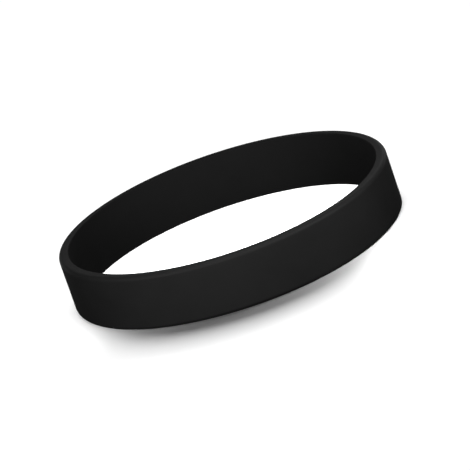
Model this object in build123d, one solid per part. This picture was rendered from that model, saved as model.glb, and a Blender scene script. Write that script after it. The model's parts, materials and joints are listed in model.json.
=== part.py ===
from build123d import *
import math
import os

# Plain silicone wristband, moulded as one endless ring. It lies on its lower rim:
# the origin is the middle of that rim, on the resting plane, and +Z runs up the ring's axis.

# Driving dimensions, in millimetres
inner_circumference = 212.0  # the tape length round the wrist side, which is how bands are sized
wall_thickness = 2.2  # radial thickness of the flat wall
band_width = 12.0  # height of the ring as it lies, rim to rim
outer_edge_radius = 0.9  # soft rounding where the outside face turns into each rim
inner_edge_radius = 0.2  # slight rounding where the wrist side turns into each rim

# A rounding may take no more than this share of the wall, so each rim keeps a flat to lie on
largest_outer_share = 0.6
largest_inner_share = 0.25

inner_radius = inner_circumference / (2 * math.pi)
outer_radius = inner_radius + wall_thickness
outer_round = min(outer_edge_radius, largest_outer_share * wall_thickness)
inner_round = min(inner_edge_radius, largest_inner_share * wall_thickness)


def wall_section():
    """The cross-section of the wall on the XZ plane, with its four edges rounded."""
    wall_middle = (inner_radius + outer_radius) / 2
    with BuildSketch(Plane.XZ) as section:
        with Locations((wall_middle, band_width / 2)):
            Rectangle(wall_thickness, band_width)
        wrist_side_corners = section.vertices().group_by(Axis.X)[0]
        fillet(wrist_side_corners, inner_round)
        outside_corners = section.vertices().group_by(Axis.X)[-1]
        fillet(outside_corners, outer_round)
    return section.sketch


def band_ring():
    """The whole band: the wall section swept once round the wrist."""
    return revolve(wall_section(), Axis.Z, 360)


def main():
    os.makedirs("parts", exist_ok=True)
    export_step(band_ring(), "parts/band.step")


main()
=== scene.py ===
# %% [markdown]
# # A plain silicone wristband, dressed in Blender
#
# The object is one endless ring of matte black silicone rubber, 12 mm wide and a little over
# 2 mm thick. It is lying on its rim, which is how such a band rests by itself.
#
# There is very little to hide behind here: no seam, no print, no clasp. The likeness comes from
# three things, so they are what this lesson spends its time on: the true section of the wall with
# its two kinds of rounded edge, the way black silicone takes the light, and soft studio lamps
# placed so that every part of the ring has its own shade of near-black.

# %% Load the fixed frame
import math

import bmesh
import bpy
from mathutils import Matrix, Vector
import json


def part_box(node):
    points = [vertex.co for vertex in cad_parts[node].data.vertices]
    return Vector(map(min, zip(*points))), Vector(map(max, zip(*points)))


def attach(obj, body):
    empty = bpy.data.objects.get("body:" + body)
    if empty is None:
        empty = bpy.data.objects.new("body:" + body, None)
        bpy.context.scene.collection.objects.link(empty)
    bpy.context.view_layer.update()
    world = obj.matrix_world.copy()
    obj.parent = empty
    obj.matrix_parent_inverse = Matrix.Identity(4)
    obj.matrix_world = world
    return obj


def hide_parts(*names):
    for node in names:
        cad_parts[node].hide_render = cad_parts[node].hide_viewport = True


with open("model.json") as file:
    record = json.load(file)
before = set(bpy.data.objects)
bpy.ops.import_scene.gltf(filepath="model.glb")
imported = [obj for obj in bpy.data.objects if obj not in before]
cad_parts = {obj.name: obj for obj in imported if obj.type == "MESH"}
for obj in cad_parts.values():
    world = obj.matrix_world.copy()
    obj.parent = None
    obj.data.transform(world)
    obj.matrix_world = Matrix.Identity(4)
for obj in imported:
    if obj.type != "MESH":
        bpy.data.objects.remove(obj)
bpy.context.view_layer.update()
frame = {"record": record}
MM = 0.001

band_low, band_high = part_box("band")
outer_radius = (band_high.x - band_low.x) / 2
band_width = band_high.z - band_low.z
print(f"frame: {2 * outer_radius / MM:.2f} mm across, {band_width / MM:.2f} mm high")

# %% [markdown]
# ## The camera first
#
# A product photographer steps well back and uses a long lens, because a near camera makes the
# front of a ring look much bigger than its back. The picture has almost no such swelling, so the
# lens here is very long and the camera stands about a metre away.
#
# The ring lies flat on the floor, and the picture shows it leaning. Both hold at once if the
# camera itself is rolled: it looks down at 18 degrees and is turned 19 degrees about its own axis.
# The camera could be placed by hand with a Track To constraint, but then the roll is hard to
# reach. Here its three axes are worked out as vectors and put in a matrix.

# %% The camera's numbers, in pixels of the square picture and degrees
picture_side_px = 470
focal_length_px = 4767
outer_radius_px = 172.13
band_middle_px = (230.15, 228.07)
camera_elevation_deg = 17.89
camera_roll_deg = 19.06
sensor_mm = 36.0

# %% Three axes and a place
elevation = math.radians(camera_elevation_deg)
roll = math.radians(camera_roll_deg)
level_right = Vector((1, 0, 0))
level_up = Vector((0, math.sin(elevation), math.cos(elevation)))
camera_back = Vector((0, -math.cos(elevation), math.sin(elevation)))
camera_right = math.cos(roll) * level_right - math.sin(roll) * level_up
camera_up = math.sin(roll) * level_right + math.cos(roll) * level_up

metres_per_px = outer_radius / outer_radius_px
camera_distance = focal_length_px * metres_per_px
aside = (band_middle_px[0] - picture_side_px / 2) * metres_per_px
above = (picture_side_px / 2 - band_middle_px[1]) * metres_per_px
band_middle = Vector((0, 0, band_width / 2))
camera_place = band_middle + camera_distance * camera_back - aside * camera_right - above * camera_up

camera_data = bpy.data.cameras.new("long_lens")
camera_data.sensor_width = sensor_mm
camera_data.lens = sensor_mm * focal_length_px / picture_side_px
camera_data.clip_start = 0.01
camera_data.clip_end = 100
camera = bpy.data.objects.new("camera", camera_data)
bpy.context.scene.collection.objects.link(camera)
turned = Matrix((camera_right, camera_up, camera_back)).transposed()
camera.matrix_world = Matrix.Translation(camera_place) @ turned.to_4x4()
bpy.context.scene.camera = camera
print(f"camera: {camera_distance:.3f} m away through a {camera_data.lens:.0f} mm lens")

# %% [markdown]
# ## The ring itself
#
# A real band is pressed in a steel mould between two halves. The mould's cutter leaves a soft
# radius where the outside turns into each rim, and the edge on the wrist side is much crisper.
# That section is the same all the way round, so the quickest true model is the one that a lathe
# would make: draw the section once, then spin it.
#
# The inner radius needs no guess. The frame's record states the hole as a bore, with the radius of
# the wrist side and the length of its straight wall. What that length lacks of the band's width is
# the rounding at its two ends, so the crisp edge's radius comes out of the record too. The soft
# edge's radius isn't in the record. It is 0.9 mm, which is as soft as the rim looks in the picture.

# %% Sizes of the section
wrist_bore = next(mount for mount in frame["record"]["mounts"] if mount["name"] == "wrist_bore")
inner_radius = wrist_bore["dims"]["r_mm"] * MM
inner_edge_radius = (band_width - wrist_bore["dims"]["length_mm"] * MM) / 2
outer_edge_radius = 0.9 * MM
print(f"wall {(outer_radius - inner_radius) / MM:.2f} mm, crisp edge {inner_edge_radius / MM:.2f} mm")

# %% [markdown]
# The section starts as four points joined by four edges. Vertex bevel rounds a corner of such a
# wire just as it rounds a mesh's edge, and `profile=0.5` makes the round a true quarter circle.
# A torus with a squared-off section, or a cylinder with Solidify and Bevel modifiers, would come
# close too, but neither lets each corner have its own radius so plainly.


# %% Draw the section and round its corners
def wall_section(shape):
    """Four joined corners in the XZ plane, each rounded by a vertex bevel."""
    low, high = band_low.z, band_high.z
    corners = [
        (inner_radius, low, inner_edge_radius),
        (outer_radius, low, outer_edge_radius),
        (outer_radius, high, outer_edge_radius),
        (inner_radius, high, inner_edge_radius),
    ]
    points = [shape.verts.new((x, 0, z)) for x, z, _ in corners]
    for here, following in zip(points, points[1:] + points[:1]):
        shape.edges.new((here, following))
    for point, (_, _, radius) in zip(points, corners):
        bmesh.ops.bevel(
            shape,
            geom=[point],
            affect="VERTICES",
            offset=radius,
            offset_type="OFFSET",
            segments=10,
            profile=0.5,
            material=-1,
        )


band_shape = bmesh.new()
wall_section(band_shape)
print(f"section: {len(band_shape.verts)} points")

# %% [markdown]
# The two walls of the section are each one long edge now. They are cut into short steps, about as
# long as the faces will be round the ring, so that the faces come out square. Long thin faces would
# give the same outline, but square ones shade more evenly.

# %% Cut the straight walls into even steps
face_side = 0.8 * MM


def cut_into_steps(shape, step):
    """Subdivides every edge that is longer than one and a half steps."""
    for edge in list(shape.edges):
        length = edge.calc_length()
        if length > 1.5 * step:
            bmesh.ops.subdivide_edges(shape, edges=[edge], cuts=round(length / step) - 1)


cut_into_steps(band_shape, face_side)
print(f"section with its walls cut: {len(band_shape.verts)} points")

# %% [markdown]
# A lathe turns the section once round the ring's axis, and the spin operator does the same. Its
# last copy lands on the first, so the two are merged. A spun shape can come out inside out, so
# after that its normals are made to point outwards.

# %% Spin it once round
turns_of_mesh = round(2 * math.pi * outer_radius / face_side)
merge_distance = 0.001 * MM
bmesh.ops.spin(
    band_shape,
    geom=band_shape.verts[:] + band_shape.edges[:],
    cent=(0, 0, 0),
    axis=(0, 0, 1),
    angle=2 * math.pi,
    steps=turns_of_mesh,
    use_merge=True,
)
bmesh.ops.remove_doubles(band_shape, verts=band_shape.verts, dist=merge_distance)
bmesh.ops.recalc_face_normals(band_shape, faces=band_shape.faces)
for face in band_shape.faces:
    face.smooth = True
print(f"ring: {len(band_shape.faces)} faces in {turns_of_mesh} steps")

# %% [markdown]
# ### Marking the roundings
#
# The finish will need to know where the wall turns into the rim, because the edges of a finished
# band are a little more matt than its flats. A vertex attribute can carry that. It could be painted
# by hand, but the vertex normals already hold the answer: on the walls they point sideways, on the
# rims straight up or down, and only on a rounding are they both at once. Twice the product of the
# two parts is 0 on every flat and 1 in the middle of every rounding.

# %% A number on every vertex
rounding_layer = band_shape.verts.layers.float.new("rounding")
band_shape.normal_update()
for vert in band_shape.verts:
    sideways = math.hypot(vert.normal.x, vert.normal.y)
    vert[rounding_layer] = 2 * sideways * abs(vert.normal.z)
on_rounding = sum(1 for vert in band_shape.verts if vert[rounding_layer] > 0.5)
print(f"{on_rounding} of {len(band_shape.verts)} points lie on the roundings")

# %% [markdown]
# So far there is only a working shape. It is written to a mesh that an object can carry. Two
# numbers say whether the shape is whole: a closed ring has no open edges, and a band of this size
# holds about 5700 cubic millimetres of rubber.

# %% From the working shape to an object
band_mesh = bpy.data.meshes.new("wristband")
open_edges = sum(1 for edge in band_shape.edges if not edge.is_manifold)
volume_mm3 = band_shape.calc_volume(signed=True) / MM**3
band_shape.to_mesh(band_mesh)
band_shape.free()
wristband = bpy.data.objects.new("wristband", band_mesh)
bpy.context.scene.collection.objects.link(wristband)
print(f"wristband: {len(band_mesh.polygons)} faces, {open_edges} open edges, {volume_mm3:.0f} mm3")

# %% [markdown]
# ### Flat walls next to round edges
#
# Smooth shading blends the directions of neighbouring faces, and beside a narrow rounding that
# bends the light on the flats too. Edges marked sharp would stop it, but they show as lines. A
# Weighted Normal modifier gives the large faces more say, so the walls stay flat up to the rounding.

# %% Keep the flat walls flat in the shading
weighted = wristband.modifiers.new("flat_walls", "WEIGHTED_NORMAL")
weighted.weight = 80
print(f"{weighted.name}: a weight of {weighted.weight} for large faces, where 50 is neutral")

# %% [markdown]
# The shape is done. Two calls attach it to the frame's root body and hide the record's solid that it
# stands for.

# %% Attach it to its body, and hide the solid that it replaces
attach(wristband, "root")
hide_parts("band")


# %% [markdown]
# ## The finish of black silicone
#
# Silicone rubber is clear by nature and is made black with a pinch of carbon, so it reflects about
# two parts in a hundred and has no hue at all. What tells the eye that it is rubber and not paint
# or plastic is its skin. The mould was spark-eroded, which leaves millions of tiny craters, and the
# rubber copies every one of them. Light that meets them spreads out, so the band shows a broad
# dim sheen and never a mirror image.
#
# A flat black with a high roughness would give the sheen and nothing more. Four layers of pattern
# make it a skin: a slow mottle in the colour, the same mottle in the roughness, fine craters as
# bump, and a gentle waviness from the rubber shrinking as it cured. All of them read Object
# coordinates, because the ring has no natural place to cut a UV map open.


# %% Two helpers for materials
def linear_colour(hex_text):
    """An sRGB hex value, as a colour picker shows it, turned to the linear colour that light uses."""
    parts = [int(hex_text[i : i + 2], 16) / 255 for i in (0, 2, 4)]
    return [p / 12.92 if p <= 0.04045 else ((p + 0.055) / 1.055) ** 2.4 for p in parts] + [1.0]


def add_node(material, kind, settings=None, links=None):
    """Adds one node. Settings are its inputs or attributes, links are what feeds its inputs.

    An input goes by its name, or by its number where a Math node calls them all Value.
    """
    node = material.node_tree.nodes.new(kind)
    for name, value in (settings or {}).items():
        if isinstance(name, int) or name in node.inputs:
            node.inputs[name].default_value = value
        else:
            setattr(node, name, value)
    for name, source in (links or {}).items():
        material.node_tree.links.new(source, node.inputs[name])
    return node


# %% Start the silicone, and its slow mottle
silicone = bpy.data.materials.new("matte_moulded_silicone_rubber")
silicone.use_nodes = True
silicone.node_tree.nodes.clear()
place_on_band = add_node(silicone, "ShaderNodeTexCoord")

mottle_size = 5.0 * MM
mottle_low, mottle_high = 0.3, 0.7  # the noise seldom leaves this range
mottle = add_node(
    silicone,
    "ShaderNodeTexNoise",
    {"Scale": 1 / mottle_size, "Detail": 3.0, "Roughness": 0.55},
    {"Vector": place_on_band.outputs["Object"]},
)
shade = add_node(silicone, "ShaderNodeValToRGB", links={"Fac": mottle.outputs["Fac"]})
darker, lighter = shade.color_ramp.elements
darker.position, darker.color = mottle_low, linear_colour("262626")
lighter.position, lighter.color = mottle_high, linear_colour("282828")
print(f"mottle: patches {mottle_size / MM:.0f} mm wide")

# %% [markdown]
# ### Roughness
#
# Matte silicone measures about 0.55 to 0.65. The mottle moves it within that range, since a mould
# never wears evenly. The roundings are more matt still: finished bands are tumbled in a drum to
# knock the flash off, and it is their edges that rub. So the rim turns into the wall with a soft
# glow, where an even roughness would draw a thin bright line.

# %% Roughness from the mottle and the roundings
smoothest, roughest = 0.57, 0.63
rougher_on_roundings = 0.08
skin_roughness = add_node(
    silicone,
    "ShaderNodeMapRange",
    {"From Min": mottle_low, "From Max": mottle_high, "To Min": smoothest, "To Max": roughest},
    {"Value": mottle.outputs["Fac"]},
)
rounding = add_node(silicone, "ShaderNodeAttribute", {"attribute_name": "rounding"})
roughness = add_node(
    silicone,
    "ShaderNodeMath",
    {"operation": "MULTIPLY_ADD", 1: rougher_on_roundings},
    {0: rounding.outputs["Fac"], 2: skin_roughness.outputs["Result"]},
)
print(f"roughness: {smoothest} to {roughest}, and {rougher_on_roundings} more on the roundings")

# %% [markdown]
# ### Craters and waves
#
# Real spark-eroded craters are 0.05 to 0.1 mm wide. They are drawn 0.15 mm wide here: in the
# picture, where one pixel shows 0.2 mm, they melt into an even tone, and in a close-up they show as
# the fine tooth of a matte mould. The waves are a few millimetres long and a hundredth of a
# millimetre deep, because this band is a well made one. Each Bump node takes a height in metres, so
# its Distance is the real depth, and the second one bends the normal of the first.

# %% Bump from two sizes of pattern
crater_size = 0.15 * MM
crater_depth = 0.02 * MM
wave_length = 7.0 * MM
wave_depth = 0.012 * MM
craters = add_node(
    silicone,
    "ShaderNodeTexNoise",
    {"Scale": 1 / crater_size, "Detail": 2.0, "Roughness": 0.6},
    {"Vector": place_on_band.outputs["Object"]},
)
waves = add_node(
    silicone,
    "ShaderNodeTexNoise",
    {"Scale": 1 / wave_length, "Detail": 1.0},
    {"Vector": place_on_band.outputs["Object"]},
)
wavy = add_node(silicone, "ShaderNodeBump", {"Distance": wave_depth}, {"Height": waves.outputs["Fac"]})
cratered = add_node(
    silicone,
    "ShaderNodeBump",
    {"Distance": crater_depth},
    {"Height": craters.outputs["Fac"], "Normal": wavy.outputs["Normal"]},
)
print(f"craters {crater_size / MM:.2f} mm wide, waves {wave_length / MM:.0f} mm long")

# %% [markdown]
# ### One shader for the whole skin
#
# Silicone rubber has a refractive index of 1.41. The craters shade one another and swallow part of
# the sheen, so the specular level is half of what a smooth surface has.

# %% The shader itself
silicone_ior = 1.41
cratered_specular_level = 0.25
shader = add_node(
    silicone,
    "ShaderNodeBsdfPrincipled",
    {"IOR": silicone_ior, "Specular IOR Level": cratered_specular_level},
    {
        "Base Color": shade.outputs["Color"],
        "Roughness": roughness.outputs["Value"],
        "Normal": cratered.outputs["Normal"],
    },
)
add_node(silicone, "ShaderNodeOutputMaterial", links={"Surface": shader.outputs["BSDF"]})
wristband.data.materials.append(silicone)
print(f"{silicone.name}: {len(silicone.node_tree.nodes)} nodes")

# %% [markdown]
# ## White paper that stays out of the band's way
#
# Outside the shadow, the paper is pure white right up to a band that is nearly black. Real paper
# under that much light would throw it back up and fill in every dark side of the band, and a black
# thing is shaped by its dark sides. A photographer solves this with a light table and black cards.
# Here the paper glows a little by itself, and its ray visibility is switched off for diffuse and
# glossy rays, so the camera sees white paper and the band sees none of it. The glow is also what
# keeps the deepest shadow from going black. The paper lies a hair below the rim, so that the two
# surfaces don't share a plane and flicker.

# %% The paper under the band
paper_radius = 3.0
gap_under_band = 0.01 * MM
paper_glow = 0.08

floor_shape = bmesh.new()
bmesh.ops.create_circle(floor_shape, cap_ends=True, segments=96, radius=paper_radius)
bmesh.ops.translate(floor_shape, verts=floor_shape.verts, vec=(0, 0, -gap_under_band))
floor_mesh = bpy.data.meshes.new("floor")
floor_shape.to_mesh(floor_mesh)
floor_shape.free()
floor = bpy.data.objects.new("floor", floor_mesh)
bpy.context.scene.collection.objects.link(floor)
floor.visible_diffuse = False
floor.visible_glossy = False

paper = bpy.data.materials.new("matt_white_paper")
paper.use_nodes = True
paper.node_tree.nodes.clear()
paper_shader = add_node(
    paper,
    "ShaderNodeBsdfPrincipled",
    {
        "Base Color": linear_colour("f4f4f4"),
        "Roughness": 1.0,
        "Specular IOR Level": 0.0,
        "Emission Color": linear_colour("ffffff"),
        "Emission Strength": paper_glow,
    },
)
add_node(paper, "ShaderNodeOutputMaterial", links={"Surface": paper_shader.outputs["BSDF"]})
floor_mesh.materials.append(paper)
print(f"paper: {2 * paper_radius:.0f} m across, {gap_under_band / MM:.2f} mm under the band")

# %% [markdown]
# The room behind the paper is a pale world that only the camera sees. If it lit the band too, its
# light would come from all sides at once and flatten the shading.

# %% The pale room
world = bpy.data.worlds.new("pale_room")
bpy.context.scene.world = world
world.use_nodes = True
world.node_tree.nodes["Background"].inputs["Color"].default_value = linear_colour("ffffff")
world.node_tree.nodes["Background"].inputs["Strength"].default_value = 1.0
world.cycles_visibility.diffuse = False
world.cycles_visibility.glossy = False
bpy.context.scene.view_settings.view_transform = "Standard"
print(f"room: {world.name}, shown through the {bpy.context.scene.view_settings.view_transform} view")

# %% [markdown]
# ## Soft lamps round a black ring
#
# A black thing shows its lamps more than itself, so each lamp here has one job. Three small
# softboxes in front shade the outside wall, one at either side and a low one for its lower half.
# They stand only a hand's width away, and that is on purpose: the light of a near lamp falls off
# quickly, so the near side comes out bright and the far side dark, as in the picture. A weak one
# straight above the near rim lights the rounding there and the wrist side opposite. Two more stand
# behind, and their light skims over the flat of the rim: a small one brings out its left end, and a
# large one, a metre off, the rest. They draw the ring's outline against its dark inside.
#
# Light linking keeps these lamps off the paper, and gives the paper lamps of its own, whose light
# the band blocks. They make the soft shadow at the band's foot.


# %% A softbox, and what it may light
CM = 0.01


def lit_group(name, *things):
    """A collection that a lamp can be told to light and nothing else."""
    group = bpy.data.collections.new(name)
    for thing in things:
        group.objects.link(thing)
    return group


def softbox(name, place_cm, size_cm, watts, lights):
    """A soft lamp aimed at the band. +X is to the right and -Y towards the camera."""
    place = Vector(place_cm) * CM
    lamp_data = bpy.data.lights.new(name, "AREA")
    lamp_data.shape = "RECTANGLE"
    lamp_data.size, lamp_data.size_y = (side * CM for side in size_cm)
    lamp_data.energy = watts
    lamp = bpy.data.objects.new(name, lamp_data)
    bpy.context.scene.collection.objects.link(lamp)
    lamp.location = place
    lamp.rotation_euler = (band_middle - place).to_track_quat("-Z", "Y").to_euler()
    lamp.visible_camera = False
    lamp.light_linking.receiver_collection = lights
    distance = (place - band_middle).length
    print(f"{name}: {watts * 1000:.1f} mW, {distance / CM:.1f} cm from the ring's middle")


# %% Place the lamps
only_band = lit_group("only_band", wristband)
only_paper = lit_group("only_paper", floor)
softbox("front_left", place_cm=(-8.3, -7.8, 4.5), size_cm=(4, 4), watts=0.0338, lights=only_band)
softbox("front_right", place_cm=(6.3, -5.8, 4.5), size_cm=(4, 4), watts=0.027, lights=only_band)
softbox("front_low", place_cm=(-1.6, -13.0, 1.7), size_cm=(8, 3), watts=0.0245, lights=only_band)
softbox("over_near_rim", place_cm=(0.0, -4.0, 4.5), size_cm=(4, 4), watts=0.0067, lights=only_band)
softbox("back_left", place_cm=(-5.1, 9.2, 4.5), size_cm=(4, 4), watts=0.0029, lights=only_band)
softbox("far_back", place_cm=(29.3, 89.9, 35.8), size_cm=(30, 30), watts=0.8, lights=only_band)

# %% [markdown]
# The picture shows neither the back of the ring nor the inside of its front, and the lamps above
# leave both nearly black. Three low strips light them for anyone who walks round: two behind the
# ring, and one in its middle that faces the front wall. All three stay lower than the rim, so they
# change nothing that the picture shows.

# %% Strips for the sides that the picture hides
softbox("strip_left", place_cm=(-5.5, 11.8, 0.6), size_cm=(10, 0.8), watts=0.018, lights=only_band)
softbox("strip_right", place_cm=(5.5, 11.8, 0.6), size_cm=(10, 0.8), watts=0.018, lights=only_band)
softbox("strip_inside", place_cm=(0.0, 0.1, 0.6), size_cm=(3, 0.6), watts=0.004, lights=only_band)

# %% [markdown]
# The paper's lamp is a sun, because a sun lights every part of the paper alike, however far out it
# lies. It stands behind the band and halfway up the sky, so that the shadow falls towards the
# camera. Its disc is made very wide, like an overcast sky, so the shadow has no hard edge.
#
# In the picture the shadow is darkest left of the front wall's middle and fades towards both ends,
# and the paper inside the ring is white. A sun alone draws the shadow along the whole foot, so three
# small lamps wash it out elsewhere. One hangs low over the middle, where the band's own wall keeps
# its light from the paper in front. The other two stand low beside the ring's ends, and their light
# falls off so quickly that the middle keeps its shadow.

# %% An even light for the paper alone
sky_strength = 4.32
sky_width_deg = 50
sky_place = Vector((0.0, 0.65, 0.76))
sky_data = bpy.data.lights.new("over_the_paper", "SUN")
sky_data.energy = sky_strength
sky_data.angle = math.radians(sky_width_deg)
sky = bpy.data.objects.new("over_the_paper", sky_data)
bpy.context.scene.collection.objects.link(sky)
sky.location = sky_place
sky.rotation_euler = (band_middle - sky_place).to_track_quat("-Z", "Y").to_euler()
sky.light_linking.receiver_collection = only_paper
print(f"{sky.name}: a sun {sky_width_deg} degrees wide")

# %% Wash the shadow out where the picture has none
softbox("over_the_hole", place_cm=(0.4, 0.4, 3.0), size_cm=(3, 3), watts=0.06, lights=only_paper)
softbox("beside_left_end", place_cm=(-4.6, -1.9, 1.0), size_cm=(2, 1), watts=0.003, lights=only_paper)
softbox("beside_right_end", place_cm=(4.4, -3.0, 1.0), size_cm=(2, 1), watts=0.011, lights=only_paper)

# %% [markdown]
# ## Finish

# %% Finish
import json
